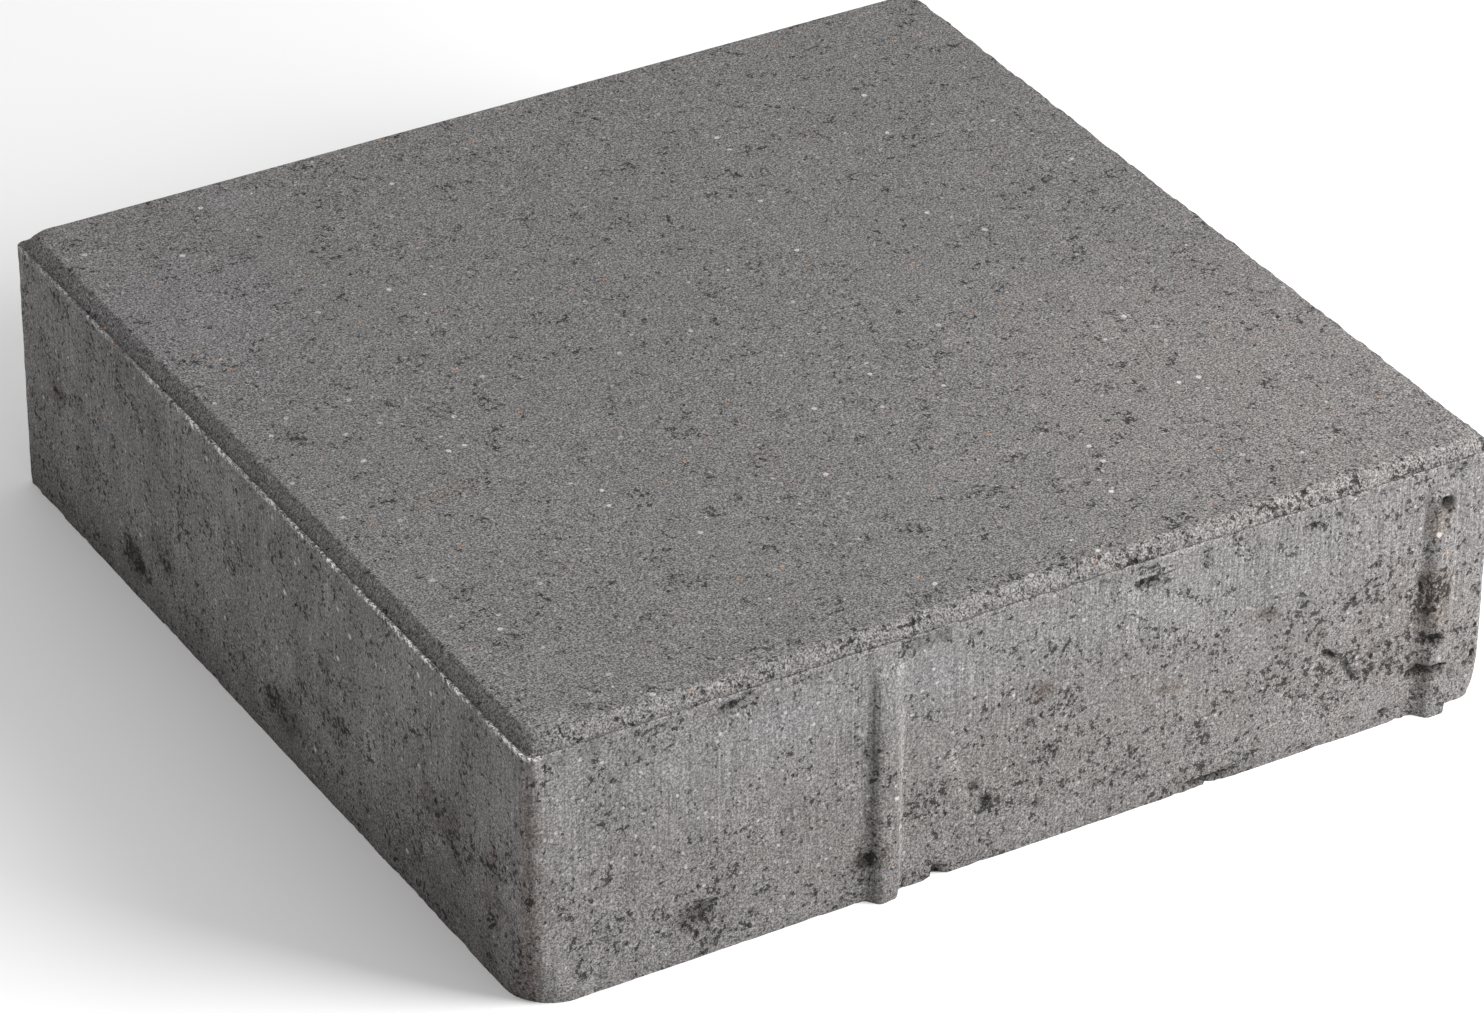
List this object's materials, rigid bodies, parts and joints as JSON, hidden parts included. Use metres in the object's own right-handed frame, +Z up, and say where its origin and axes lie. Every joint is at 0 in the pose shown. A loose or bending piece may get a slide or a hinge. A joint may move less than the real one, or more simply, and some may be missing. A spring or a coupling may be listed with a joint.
{
  "type": "concrete paving slab",
  "caption": "Square pressed concrete paving slab with a chamfered walking face, rounded upright corners and upright spacer ribs on one joint face.",
  "frame": {"origin": "centre of the body's bottom (bed) face, ribs left out", "axes": "+Z up, out of the chamfered walking face; -Y out of the ribbed joint face; +X along that face"},
  "size_m": [0.297, 0.3008, 0.0825],
  "materials": {
    "concrete": "matt grey pressed concrete, fine sandy grain, open pores"
  },
  "bodies": {
    "root": {"paving_slab": "concrete"}
  },
  "joints": []
}
